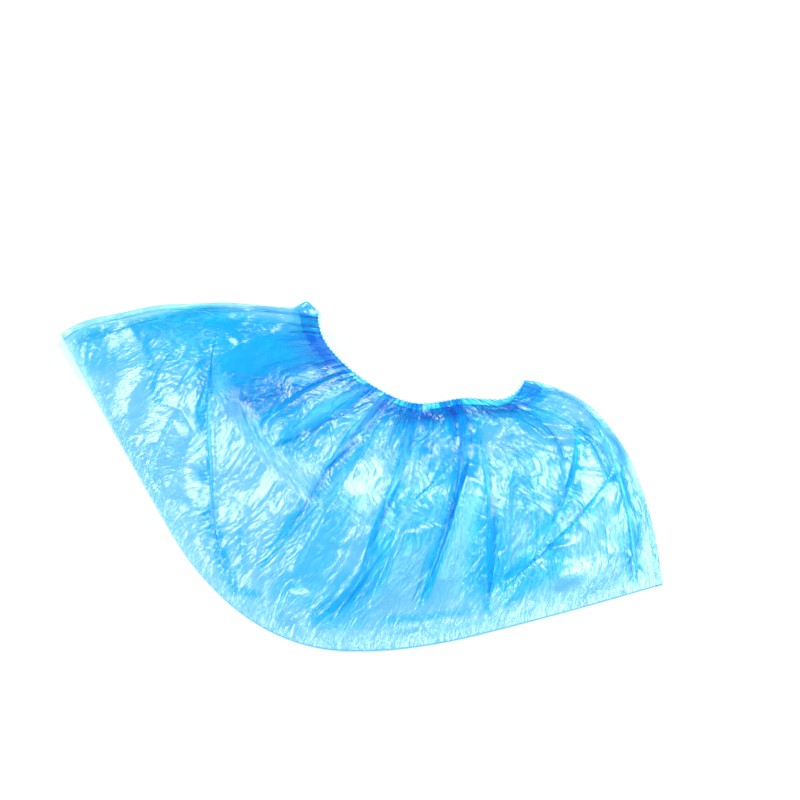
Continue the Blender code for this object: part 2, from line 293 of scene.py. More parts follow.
def pleat_bands(table, down):
    """Place of each pleat along the net's row, and the width of its band in metres: rows by pleats."""
    down = down[:, None]
    t = np.clip((down - table["down_0"]) / (table["down_1"] - table["down_0"]), 0, 1)
    centre = table["along_0"] + (table["along_1"] - table["along_0"]) * t
    started = np.where(table["down_0"] > 0.001, smooth((down - table["down_0"]) / START_FADE), 1.0)
    charted = table["band_0_mm"] + (table["band_1_mm"] - table["band_0_mm"]) * t
    share = charted * started * smooth((table["down_1"] - down) / table["fade"])
    left = (SOLE_LENGTH - row_length(down)) / 2 * (1 - LOOSE_SHARE)
    band = np.zeros_like(share)
    for kind, most in ((table["fine"] == 0, 1.0), (table["fine"] == 1, MOST_WIDENING)):
        wanted = share[:, kind].sum(axis=1, keepdims=True) * MM
        band[:, kind] = share[:, kind] * MM * np.minimum(most, left / np.maximum(wanted, MM))
        left = np.maximum(left - band[:, kind].sum(axis=1, keepdims=True), 0)
    return centre, band


def pleat_places(centre, band):
    """Place of each pleat on the cut film: its share of the film in sight, and what is folded before it."""
    rank = np.argsort(centre, axis=1)
    sorted_band = np.take_along_axis(band, rank, axis=1)
    before = np.empty_like(band)
    np.put_along_axis(before, rank, np.cumsum(2 * sorted_band, axis=1) - sorted_band, axis=1)
    return centre * (SOLE_LENGTH - 2 * band.sum(axis=1, keepdims=True)) + before


bands_laid = pleat_bands(UPPER, np.array([0.0, 0.5]))[1].sum(axis=1) / MM
print("bands at the mouth and half way down add up to %.0f and %.0f mm" % tuple(bands_laid))

# %% [markdown]
# ### The shape of a pleat
# Over a band of width b the film lies three times, so 3 b of film is drawn here as x from -1.5 to
# 1.5. It runs forward to x = -0.5, back to 0.5, and forward again. The pleat rises slowly to its
# turn on the side that it leans to, and drops steeply beneath it.

# %% Lay a row of film into its pleats
COLUMNS = 481               # points across the cut film, one in 0.8 mm of it
NARROWEST = 0.15 * MM       # a band's width for its shape, so that nothing is divided by zero
FULL_BAND = 0.8 * MM        # from this width a band counts as three full layers
COVERING_BAND = 1 * MM      # and from this width its top hides what is drawn on the two layers under it
PLAIN_BAND = 4 * MM         # a band that is as high as charted
MOST_SIZE = 1.6             # height grows with the root of the band, up to the root of this
SOFT_SHARE = 0.6            # of a band, over which it fades on the side that it leans from
EVEN_TURN = 0.55            # share of the way back that runs evenly, and the rest eases in and out


def band_shape(x):
    """Height across a pleat that leans to the right: a long rise to its turn at -0.5, and a steep drop."""
    return smooth((x + 2.1) / 1.6) ** 1.3 * (1 - smooth((x + 0.5) / 0.95))


def pleated_rows(pleats, film, down):
    """Lays the film's columns, shares of its cut length, along the net's rows, shares of the way down.

    Gives the share along the row, the height, how far the place lies in a band, and whether under its top.
    """
    order = np.argsort(pleats["along_0"] + pleats["along_1"])
    table = {name: column[order] for name, column in pleats.items()}
    centre, bands = pleat_bands(table, down)
    places = pleat_places(centre, bands)
    along = np.repeat((film * SOLE_LENGTH)[None], len(down), axis=0)
    height, single, hidden = np.zeros_like(along), np.ones_like(along), np.zeros_like(along, bool)
    for k, (lean, high) in enumerate(zip(table["lean"], table["height_mm"])):
        band, place = bands[:, k:k + 1], places[:, k:k + 1]
        x = (film[None] * SOLE_LENGTH - place) / np.maximum(band, NARROWEST)
        across = np.where(x < -0.5, x + 1.5, np.where(x < 0.5, 0.5 - x, x - 0.5))
        inward = across if lean > 0 else 1 - across
        covered = (np.abs(x) < 1.5) * smooth(inward / SOFT_SHARE)
        single *= 1 - covered * np.clip(band / FULL_BAND, 0, 1)
        hidden |= (np.abs(x) < 1.5) & (x * lean > -0.5) & (band > COVERING_BAND)
        turn = np.clip(x + 0.5, 0, 1)
        along -= 2 * band * (EVEN_TURN * turn + (1 - EVEN_TURN) * smooth(turn))
        size = np.sqrt(np.clip(band / PLAIN_BAND, 0, MOST_SIZE))
        height += high * MM * size * band_shape(x * lean)
    return along / along[:, -1:], height, 1 - single, hidden


in_bands = pleated_rows(UPPER, np.linspace(0, 1, COLUMNS), np.array([0.0, 0.5]))[2].mean(axis=1)
print("share of the film that lies in bands, at the mouth and half way: %.2f and %.2f" % tuple(in_bands))

# %% [markdown]
# ## Crinkles
# Between its folds the film is never smooth. It was packed in a bag, and keeps a net of small
# creases. They are made as height over the film: many straight creases at chance places and
# headings, each a low ridge that is sharp across and dies out along. Both layers get them, from
# seeds of their own.

# %% Draw creases over the film
LONG_CREASES = (260, 20 * MM, 0.6 * MM)     # count, length and height
SHORT_CREASES = (500, 9 * MM, 0.25 * MM)


def creases(across, depth, count, reach, height, seed):
    """Height at film coordinates in metres: the sum of chance ridges h (1 - |d|/w), which fade along."""
    rng = np.random.default_rng(seed)
    total = np.zeros_like(across)
    for _ in range(count):
        centre = rng.uniform([0, 0], [SOLE_LENGTH, FILM_DEPTH])
        heading = rng.uniform(0, math.pi)
        long, wide = reach * rng.uniform(0.5, 1.6), reach * rng.uniform(0.10, 0.28)
        near = (np.abs(across - centre[0]) < long + wide) & (np.abs(depth - centre[1]) < long + wide)
        x, y = across[near] - centre[0], depth[near] - centre[1]
        run = np.abs(x * math.cos(heading) + y * math.sin(heading)) / long
        off = np.abs(-x * math.sin(heading) + y * math.cos(heading)) / wide
        ridge = np.clip(1 - off, 0, 1) * smooth(1 - run)
        total[near] += rng.choice([-1, 1]) * height * rng.uniform(0.4, 1) * ridge
    return total


cut_film = np.meshgrid(np.linspace(0, SOLE_LENGTH, 200), np.linspace(0, FILM_DEPTH, 70))
print("the long creases add up to %.1f mm" % (creases(*cut_film, *LONG_CREASES, 11).max() / MM))

# %% [markdown]
# ## Finer folds, drawn as tint
# Many folds are finer than the mesh. What they show is deeper blue, because light passes the film
# several times there, and so they are drawn as strips of tint. Each strip is charted between two
# places on the net, with a width at either end. Along the mouth the finest gathers can't be told
# one from another, so chance streaks stand for them. Both go onto the mesh's points as one value.

# %% Chart the strips of finer folds
INNER_COLUMNS = ("along_0", "down_0", "along_1", "down_1", "width_0_mm", "width_1_mm", "fullness", "soft")
INNER_FOLDS = (             # strips where finer folds lie in the film, from one place on the net to another
    (0.125, 0.00, 0.055, 0.54, 14, 26, 0.80, 0.6),
    (0.205, 0.00, 0.205, 0.58, 26, 38, 0.75, 0.4),
    (0.040, 0.40, 0.042, 0.76, 18, 9, 0.85, 0.8),
    (0.075, 0.36, 0.090, 0.70, 14, 12, 0.50, 1.0),
    (0.042, 0.66, 0.015, 0.94, 8, 5, 0.70, 0.9),
    (0.030, 1.00, 0.050, 0.62, 22, 18, 0.35, 1.0),
    (0.105, 0.52, 0.200, 0.68, 8, 7, 0.85, 0.9),
    (0.056, 0.72, 0.166, 0.81, 4.5, 3.5, 0.80, 0.9),
    (0.098, 0.50, 0.250, 0.76, 6, 6, 0.85, 0.8),
    (0.240, 0.73, 0.338, 0.88, 6.5, 6.5, 0.90, 0.8),
    (0.330, 0.86, 0.426, 0.965, 6.5, 4, 0.80, 0.8),
    (0.412, 0.965, 0.455, 0.92, 3.5, 2.5, 0.60, 0.9),
    (0.370, 0.80, 0.415, 0.91, 2, 3, 0.50, 0.9),
    (0.435, 0.40, 0.430, 0.88, 7, 2.5, 0.75, 0.8),
    (0.480, 0.00, 0.440, 0.46, 12, 6, 0.75, 0.8),
    (0.475, 0.46, 0.500, 0.93, 16, 30, 0.25, 1.0),
    (0.555, 0.74, 0.565, 0.95, 20, 24, 0.30, 1.0),
    (0.300, 0.16, 0.274, 0.58, 8, 20, 0.80, 0.7),
    (0.640, 0.26, 0.622, 0.68, 12, 12, 0.45, 1.0),
    (0.520, 0.92, 0.598, 0.76, 9, 6, 0.70, 0.9),
    (0.596, 0.80, 0.560, 0.40, 6, 5, 0.70, 0.9),
    (0.570, 0.62, 0.550, 0.93, 4, 3, 0.80, 0.8),
    (0.575, 0.00, 0.580, 0.30, 14, 9, 0.75, 0.9),
    (0.660, 0.32, 0.555, 0.58, 4, 3, 0.60, 0.7),
    (0.710, 0.00, 0.684, 0.46, 15, 8, 0.85, 0.8),
    (0.684, 0.40, 0.664, 0.88, 8, 3.5, 0.85, 0.8),
    (0.680, 0.00, 0.680, 0.18, 20, 20, 0.70, 0.7),
    (0.735, 0.10, 0.905, 0.16, 8, 9, 0.70, 0.8),
    (0.725, 0.36, 0.755, 0.88, 9, 20, 0.60, 0.6),
    (0.738, 0.74, 0.765, 0.94, 5, 3, 0.80, 0.7),
    (0.800, 0.30, 0.835, 0.62, 26, 26, 0.35, 1.0),
    (0.948, 0.30, 0.830, 0.70, 8, 6, 0.80, 0.7),
    (0.845, 0.60, 0.790, 0.80, 5, 2, 0.45, 0.9),
    (0.980, 0.52, 0.850, 0.73, 4, 5, 0.60, 0.8),
    (0.860, 0.71, 0.750, 0.86, 6, 4, 0.60, 0.8),
    (0.870, 0.77, 0.770, 0.89, 17, 13, 0.40, 0.8),
    (0.988, 0.26, 0.980, 0.99, 8, 18, 0.60, 0.7),
    (0.950, 0.60, 0.950, 0.92, 1.6, 1.6, 0.50, 0.9),
    (0.610, 0.90, 0.755, 0.91, 4, 1, 0.40, 1.0),
    (0.395, 0.00, 0.332, 0.55, 12, 16, 0.60, 0.5),
    (0.840, 0.02, 0.900, 0.24, 20, 22, 0.35, 1.0),
    (0.967, 0.00, 0.967, 0.12, 11, 11, 0.95, 0.1),
)
FADING_END = 0.12           # of a strip's length, over which it fades in and out


def strip_place(strip, along, down):
    """Share of the way from a strip's first place to its second, and distance to the line between them."""
    wide = row_length((strip["down_0"] + strip["down_1"]) / 2)
    run = np.array([(strip["along_1"] - strip["along_0"]) * wide,
                    (strip["down_1"] - strip["down_0"]) * FILM_DEPTH])
    x, y = (along - strip["along_0"]) * wide, (down - strip["down_0"]) * FILM_DEPTH
    return (x * run[0] + y * run[1]) / (run @ run), np.abs(x * run[1] - y * run[0]) / np.linalg.norm(run)


def inner_folds(along, down):
    """How full of finer folds a place is, 0 to 1: strips between two places, each with a soft border."""
    single = np.ones_like(along)
    for row in INNER_FOLDS:
        strip = dict(zip(INNER_COLUMNS, row))
        t, off = strip_place(strip, along, down)
        widening = strip["width_1_mm"] - strip["width_0_mm"]
        half = (strip["width_0_mm"] + widening * np.clip(t, 0, 1)) * MM / 2
        inside = smooth((half * (1 + strip["soft"] / 2) - off) / (half * strip["soft"]))
        ends = np.where(strip["down_0"] < 0.001, 1.0, smooth(t / FADING_END)) * smooth((1 - t) / FADING_END)
        single *= 1 - strip["fullness"] * inside * ends
    return 1 - single


print(len(INNER_FOLDS), "strips of finer folds")

# %% Draw the streaks along the mouth
RIM_STREAKS = 110           # fine gathers along the mouth, too narrow for the mesh
STREAKED_TO = 0.24          # share of the way down to the sole where the last of them ends
STREAK_FULLNESS = 0.5       # of the deepest tint, in the deepest of them


def rim_streaks(along, down):
    """How deep the finest gathers are, 0 to 1: chance values along the mouth, each with its own reach."""
    rng = np.random.default_rng(17)
    knots = (np.arange(RIM_STREAKS) + 0.5) / RIM_STREAKS
    deep = np.interp(along, knots, rng.random(RIM_STREAKS) ** 1.4)
    reach = np.interp(along, knots, rng.uniform(0.35, 1.0, RIM_STREAKS)) * STREAKED_TO
    return (0.2 + 0.8 * deep) * (1 - smooth(down / reach))


print("%d streaks along the mouth, one in %.1f mm" % (RIM_STREAKS, MOUTH_LENGTH / RIM_STREAKS / MM))

# %% [markdown]
# ## Raised creases, tilted panels and facets
# Between its folds the loose film stands in forms that carry the light. Thin creases stand up and
# shine as white streaks. Panels slope to the right between two folds, and reflect the lamp. The rest
# breaks into flat facets that meet in soft creases. The first two are charted from their places on
# the real cover, and the facets are waves that bend and drift, since no one facet matters.

# %% Raise the creases
RIDGE_COLUMNS = ("along_0", "down_0", "along_1", "down_1", "width_mm", "height_mm")
RIDGES = (                  # thin raised creases that shine as white streaks
    (0.165, 0.53, 0.217, 0.39, 3.0, 0.9),
    (0.212, 0.40, 0.290, 0.27, 2.4, 0.6),
    (0.243, 0.41, 0.268, 0.35, 3.0, 0.6),
    (0.232, 0.53, 0.250, 0.45, 4.0, 0.8),
    (0.125, 0.24, 0.158, 0.05, 2.4, 0.8),
    (0.080, 0.34, 0.092, 0.27, 3.0, 0.9),
    (0.370, 0.76, 0.412, 0.90, 2.4, 0.8),
    (0.400, 0.76, 0.424, 0.87, 2.0, 0.8),
    (0.590, 0.50, 0.573, 0.70, 2.2, 0.8),
    (0.775, 0.56, 0.785, 0.84, 2.4, 0.8),
    (0.762, 0.46, 0.820, 0.70, 2.2, 0.8),
    (0.768, 0.44, 0.846, 0.66, 2.2, 0.8),
    (0.620, 0.94, 0.720, 0.94, 2.4, 0.7),
    (0.400, 0.24, 0.425, 0.10, 3.0, 1.0),
    (0.395, 0.38, 0.410, 0.26, 4.0, 1.1),
    (0.480, 0.30, 0.500, 0.10, 2.6, 0.9),
    (0.845, 0.20, 0.950, 0.34, 2.4, 0.8),
    (0.620, 0.24, 0.628, 0.06, 2.2, 0.8),
)


def fading_ends(t):
    """Grows over the first quarter of a line and dies out over the last one."""
    return smooth(t * 4) * smooth((1 - t) * 4)


def ridges(along, down):
    """Height of the raised creases: a roof h (1 - |d|/w) over each line, which fades out at its ends."""
    total = np.zeros_like(along)
    for row in RIDGES:
        strip = dict(zip(RIDGE_COLUMNS, row))
        t, off = strip_place(strip, along, down)
        roof = np.clip(1 - off / (strip["width_mm"] * MM / 2), 0, 1)
        total += strip["height_mm"] * MM * roof * fading_ends(t)
    return total


print(len(RIDGES), "raised creases, up to %.1f mm high" % max(row[-1] for row in RIDGES))

# %% Tilt the panels
PANEL_COLUMNS = ("along_0", "down_0", "along_1", "down_1", "width_mm", "drop_mm")
TILTED_PANELS = (           # where the film slopes to the right between two folds, and catches the light
    (0.295, 0.00, 0.290, 0.56, 8, 2.4),
    (0.010, 0.05, 0.015, 0.55, 9, 2.7),
    (0.185, 0.26, 0.215, 0.50, 5, 1.5),
    (0.135, 0.50, 0.215, 0.72, 9, 2.7),
    (0.380, 0.28, 0.370, 0.50, 6, 1.8),
    (0.472, 0.30, 0.478, 0.86, 12, 3.6),
    (0.585, 0.28, 0.600, 0.56, 9, 2.7),
    (0.605, 0.56, 0.600, 0.88, 14, 6.0),
    (0.672, 0.34, 0.672, 0.90, 16, 6.4),
    (0.775, 0.44, 0.785, 0.84, 14, 4.2),
    (0.820, 0.20, 0.860, 0.36, 12, 3.6),
    (0.885, 0.30, 0.860, 0.62, 12, 3.6),
    (0.840, 0.72, 0.860, 0.92, 18, 5.4),
    (0.940, 0.30, 0.945, 0.58, 12, 3.6),
    (0.180, 0.74, 0.230, 0.98, 14, 4.2),
    (0.480, 0.84, 0.490, 0.98, 12, 3.6),
)
PANEL_RISE = 3 * MM


def panels(along, down):
    """Height of the tilted panels: a short rise at the left border, then an even slope to the right one."""
    total = np.zeros_like(along)
    for row in TILTED_PANELS:
        panel = dict(zip(PANEL_COLUMNS, row))
        t = (down - panel["down_0"]) / (panel["down_1"] - panel["down_0"])
        left = panel["along_0"] + (panel["along_1"] - panel["along_0"]) * np.clip(t, 0, 1)
        x = (along - left) * row_length(down)
        width = panel["width_mm"] * MM
        across = smooth((x + PANEL_RISE) / PANEL_RISE) * np.clip(1 - x / width, 0, 1)
        total += panel["drop_mm"] * MM * across * fading_ends(t)
    return total


print(len(TILTED_PANELS), "tilted panels, that drop up to %.1f mm" % max(row[-1] for row in TILTED_PANELS))

# %% Break the loose film into facets
FACET_WAVES = (             # count across the net, slope of the facets
    (5, 0.06), (8, 0.08), (13, 0.08), (19, 0.07), (31, 0.06),
)
FACET_SHARPNESS = 0.97      # 1 would make the creases between the facets sharp
MIDDLE_ROW = 0.75 * SOLE_LENGTH     # a facet's height comes from its slope over a row of this length


def facets(along, down, seed):
    """Flat facets with soft creases: triangle waves h asin(s sin p), whose phase p bends and drifts."""
    rng = np.random.default_rng(seed)
    total = np.zeros_like(along)
    for count, slope in FACET_WAVES:
        turn, drift, bend = rng.uniform(0, 2 * math.pi), rng.uniform(-2.5, 2.5), rng.uniform(0.4, 1.2)
        phase = 2 * math.pi * count * along + drift * 2 * math.pi * down + turn
        phase += bend * np.sin(5 * down * math.pi + 7 * along * math.pi + turn)
        strong = 0.55 + 0.45 * np.sin(2 * math.pi * (1.7 * along + 1.3 * down) + 3 * turn)
        height = slope * MIDDLE_ROW / count / 4
        total += height * strong * np.arcsin(FACET_SHARPNESS * np.sin(phase)) * 2 / math.pi
    return total * smooth(down / 0.2) * smooth((1 - down) / 0.12)


print("facets %.0f to %.0f mm wide" % (
    MIDDLE_ROW / 2 / FACET_WAVES[-1][0] / MM, MIDDLE_ROW / 2 / FACET_WAVES[0][0] / MM))

# %% [markdown]
# ## The two layers
# The upper layer stands on a low dome between the mouth, the ends and the sole fold. The under layer
# lies on the floor, with its folds pressed down. The film turns over along the sole in a small
# round, so both layers are one sheet, as on the real cover.

# %% Set the heights without folds
UPPER_LEAST = 1.2 * MM      # height of the upper layer at the welds and at the sole
CROWN_PLACE = 0.35          # share of the way down where the dome is at its highest
SOLE_SLOPE = 0.5            # share of the way down, over which it falls to the sole
END_FORM = 3.2              # power of the dome's outline along the cover: 2 is round, and more is squarer
LEFT_LIFT = 8 * MM          # the left corner stands a little off the floor
LIFTED_TO = 0.16            # share of the way along where that lift ends
UNDER_LEAST, UNDER_RISE = 0.9 * MM, 1.6 * MM    # the under layer lies on air and on its own folds


def dome(along, down):
    """The upper layer's height: mouth, crown and sole, narrowing to nothing at the ends."""
    ends = np.sqrt(np.clip(1 - np.abs(2 * along - 1) ** END_FORM, 0, 1))
    mouth = MOUTH_HEIGHT * smooth(ends * 1.2)
    crown = CROWN_HEIGHT * ends
    height = mouth + (crown - mouth) * smooth(down / CROWN_PLACE)
    return UPPER_LEAST + height * smooth((1 - down) / SOLE_SLOPE)


def under_base(along, down):
    """The under layer's height: nearly flat, and lowest at the sole and the ends."""
    ends = smooth(np.minimum(along, 1 - along) / 0.1)
    return UNDER_LEAST + UNDER_RISE * smooth((1 - down) / 0.4) * ends


def corner_lift(along, down):
    """The left end curls up off the floor, most along the sole side of its corner."""
    return LEFT_LIFT * smooth((LIFTED_TO - along) / LIFTED_TO) * smooth((down - 0.25) / 0.5)


print("the dome stands %.1f mm high at its crown" % (dome(0.5, CROWN_PLACE) / MM))

# %% Shape a layer
END_INSET = WELD_WIDTH - 0.6 * MM       # the layers end a little under the welds
CALM_ENDS, CALM_SOLE = 0.03, 0.06       # shares of the way along and down, where crinkles die out
PRESSED = 0.90              # how much calmer the film lies inside a band, pressed by its neighbours
LEAST_FOLD = 0.3            # share of a fold's height that is left where the film is calmest
RIM_FOLD, RIM_FOLDED_TO = 0.35, 0.04    # and right at the mouth, where the elastic holds it
RIDGE_CLEARS = 0.9          # share of a band's deeper blue that is gone where a crease stands up from it
CLEARING_HEIGHT = 0.5 * MM
FLOOR_CLEARANCE = 0.25 * MM
UPPER_LOOKS, UNDER_LOOKS = (11, 1.0), (23, 0.3)     # seed of the creases, and how freely the film stands


def layer(pleats, down, seed, loose, base):
    """Points of a layer on its grid of rows by columns, its places on the cut film, and its finer folds.

    The height is that of the base, plus the pleats, plus what the loose film does between them.
    """
    film = np.linspace(0, 1, COLUMNS)
    along, height, folded, hidden = pleated_rows(pleats, film, down)
    inset = END_INSET / row_length(down)[:, None]
    along = inset + np.clip(along, 0, 1) * (1 - 2 * inset)
    down_grid = np.broadcast_to(down[:, None], along.shape)
    across, depth = np.meshgrid(film * SOLE_LENGTH, down * FILM_DEPTH)
    crinkle = creases(across, depth, *LONG_CREASES, seed)
    crinkle += creases(across, depth, *SHORT_CREASES, seed + 1)
    calm = smooth(np.minimum(along, 1 - along) / CALM_ENDS) * smooth((1 - down) / CALM_SOLE)[:, None]
    calm = calm * (1 - PRESSED * folded)
    between = (crinkle + facets(along, down_grid, seed + 2) + panels(along, down_grid)) * calm * loose
    raised = ridges(along, down_grid) * loose * ~hidden
    folded = folded * (1 - RIDGE_CLEARS * np.clip(raised / CLEARING_HEIGHT, 0, 1))
    at_rim = RIM_FOLD + (1 - RIM_FOLD) * smooth(down / RIM_FOLDED_TO)[:, None]
    height = height * at_rim + between + raised
    height = base(along, down_grid) + height * (LEAST_FOLD + (1 - LEAST_FOLD) * calm)
    lifted = np.maximum(height, FLOOR_CLEARANCE) + corner_lift(along, down_grid)
    points = np.dstack([plan(along, down_grid), lifted])
    inner = inner_folds(along, down_grid) + STREAK_FULLNESS * rim_streaks(along, down_grid)
    return points, np.dstack([across, depth, folded]), np.clip(inner, 0, 1)


half_way = layer(UPPER, np.array([0.5]), *UPPER_LOOKS, dome)[0][..., 2] / MM
print("half way down, the upper layer is %.1f to %.1f mm high" % (half_way.min(), half_way.max()))

# %% Make a mesh of a grid


def grid_faces(rows, columns):
    """Quads of a grid whose points are listed row by row."""
    row, column = np.meshgrid(np.arange(rows - 1), np.arange(columns - 1), indexing="ij")
    first = (row * columns + column).ravel()
    return np.column_stack([first, first + 1, first + columns + 1, first + columns])


def mesh_piece(name, points, faces, material):
    """A piece whose place is in its mesh, shaded smooth."""
    mesh = bpy.data.meshes.new(name)
    mesh.from_pydata(points.reshape(-1, 3).tolist(), [], faces.tolist())
    mesh.shade_smooth()
    mesh.materials.append(material)
    obj = bpy.data.objects.new(name, mesh)
    bpy.context.scene.collection.objects.link(obj)
    return obj


print("a grid of 3 by 4 points has", len(grid_faces(3, 4)), "faces")

# %% [markdown]
# ## Materials
# Colours are written as sRGB hex values, as a colour picker gives them, and turned to linear by one
# function. One small function adds each shader node.

# %% Helpers for materials


def linear(hex_colour):
    """An sRGB hex colour as linear RGBA."""
    parts = [int(hex_colour[i:i + 2], 16) / 255 for i in (1, 3, 5)]
    return (*[c / 12.92 if c <= 0.04045 else ((c + 0.055) / 1.055) ** 2.4 for c in parts], 1.0)


def add_node(material, kind, settings=None, inputs=None):
    """Adds a node, sets its properties, and sets its inputs, or links them where an output is given."""
    tree = material.node_tree
    node = tree.nodes.new(kind)
    for key, value in (settings or {}).items():
        setattr(node, key, value)
    for key, value in (inputs or {}).items():
        if isinstance(value, bpy.types.NodeSocket):
            tree.links.new(value, node.inputs[key])
        else:
            node.inputs[key].default_value = value
    return node


def new_material(name):
    """A material without any nodes."""
    material = bpy.data.materials.new(name)
    material.use_nodes = True
    material.node_tree.nodes.clear()
    return material


print("#08bef2 in linear light: %.3f, %.3f, %.3f" % linear("#08bef2")[:3])

# %% [markdown]
# ### Blown polyethylene film
# The film is 0.03 mm thick and dyed through. Light that passes a layer loses a little red, so the
# colour deepens with every layer, from pale aqua to strong blue. A refracting shader would need a
# real wall and many samples. Here each layer is a see-through shader with a tint, and the tints
# multiply by themselves. The tint is thin on film that lies alone, packed inside a pleat's band, and
# deep where finer folds lie in it. Where the film stands steep its tint is deepened too: that is
# painted shade, for the longer way that light takes through it there. The dye scatters a little of
# the light, and both surfaces shine as plastic does. Handling has crumpled the film, in patches, and
# all of it has the fine crimps of blown film: both are bump, because they are too fine for the mesh.

# %% Crumple the film
CRUMPLE_ACROSS, CRUMPLE_ALONG = 4.2 * MM, 10 * MM   # creases of the crumpled film, longer down than across
CRUMPLE_HEIGHT = 0.42 * MM
GRAIN_ACROSS, GRAIN_ALONG = 0.9 * MM, 3.5 * MM      # fine crimps, drawn coarse enough to show
GRAIN_HEIGHT = 0.15 * MM
CRUMPLED_PATCH = 32 * MM    # across a patch, and half as long again down it
SMOOTH_PATCH, ROUGH_PATCH = 0.22, 0.95  # share of the crumple's height that a patch has


def film_relief(m, place, banded):
    """The bumped normal: ridged creases in patches, pressed flat inside a band, and crimps over them."""
    scaled = add_node(m, "ShaderNodeMapping", {"vector_type": "POINT"}, {
        "Vector": place, "Scale": (1 / CRUMPLE_ACROSS, 1 / CRUMPLE_ALONG, 1.0)})
    crumple = add_node(m, "ShaderNodeTexNoise", {
        "noise_dimensions": "2D", "noise_type": "RIDGED_MULTIFRACTAL"}, {
        "Vector": scaled.outputs["Vector"], "Scale": 1.0, "Detail": 2.0, "Roughness": 0.55,
        "Lacunarity": 2.6, "Offset": 0.9, "Gain": 1.2, "Distortion": 0.3})
    wide = add_node(m, "ShaderNodeMapping", {"vector_type": "POINT"}, {
        "Vector": place, "Scale": (1 / CRUMPLED_PATCH, 0.7 / CRUMPLED_PATCH, 0.0)})
    handled = add_node(m, "ShaderNodeTexNoise", {"noise_dimensions": "2D"}, {
        "Vector": wide.outputs["Vector"], "Scale": 1.0, "Detail": 1.0})
    patch = add_node(m, "ShaderNodeMapRange", {"interpolation_type": "SMOOTHSTEP"}, {
        "Value": handled.outputs["Fac"], "From Min": 0.38, "From Max": 0.62,
        "To Min": SMOOTH_PATCH, "To Max": ROUGH_PATCH})
    pressed = add_node(m, "ShaderNodeMath", {"operation": "MULTIPLY_ADD"}, {
        0: banded, 1: -PRESSED, 2: 1.0})
    strength = add_node(m, "ShaderNodeMath", {"operation": "MULTIPLY"}, {
        0: patch.outputs["Result"], 1: pressed.outputs[0]})
    relief = add_node(m, "ShaderNodeMath", {"operation": "MULTIPLY"}, {
        0: crumple.outputs["Fac"], 1: strength.outputs[0]})
    coarse = add_node(m, "ShaderNodeBump", {}, {
        "Height": relief.outputs[0], "Strength": 1.0, "Distance": CRUMPLE_HEIGHT})
    narrow = add_node(m, "ShaderNodeMapping", {"vector_type": "POINT"}, {
        "Vector": place, "Scale": (1 / GRAIN_ACROSS, 1 / GRAIN_ALONG, 0.0)})
    grain = add_node(m, "ShaderNodeTexNoise", {"noise_dimensions": "2D"}, {
        "Vector": narrow.outputs["Vector"], "Scale": 1.0, "Detail": 1.0, "Distortion": 0.4})
    fine = add_node(m, "ShaderNodeBump", {}, {
        "Height": grain.outputs["Fac"], "Normal": coarse.outputs["Normal"], "Strength": 1.0,
        "Distance": GRAIN_HEIGHT})
    return fine.outputs["Normal"]


print("creases %.1f mm across, and crimps %.1f mm across" % (CRUMPLE_ACROSS / MM, GRAIN_ACROSS / MM))

# %% Make the film's materials
STRAIGHT_ON = 0.08          # reflected of light that meets the film squarely: 4 % on either surface
GRAZING = 0.20              # and of light that skims it: less than all, since a fold is round
WETTED = 0.65               # share of the reflection that is gone inside a band, where film lies on film
FILM_ROUGHNESS = 0.26       # blown film is smooth, and its finest crimps spread the glint


def film_body(m, banded, thin, packed, deep, scatter, dye):
    """See-through film with the tint of its place, and a share of light that its dye scatters."""
    # The fullness value deepens the tint for finer folds, and on steep film it is painted shade.
    fullness = add_node(m, "ShaderNodeAttribute", {"attribute_name": "fullness"})
    single = add_node(m, "ShaderNodeMix", {"data_type": "RGBA"}, {
        "Factor": banded, 6: linear(thin), 7: linear(packed)})
    tint = add_node(m, "ShaderNodeMix", {"data_type": "RGBA"}, {
        "Factor": fullness.outputs["Fac"], 6: single.outputs[2], 7: linear(deep)})
    clear = add_node(m, "ShaderNodeBsdfTransparent", {}, {"Color": tint.outputs[2]})
    return add_node(m, "ShaderNodeMixShader", {}, {0: scatter, 1: clear.outputs[0], 2: dye})


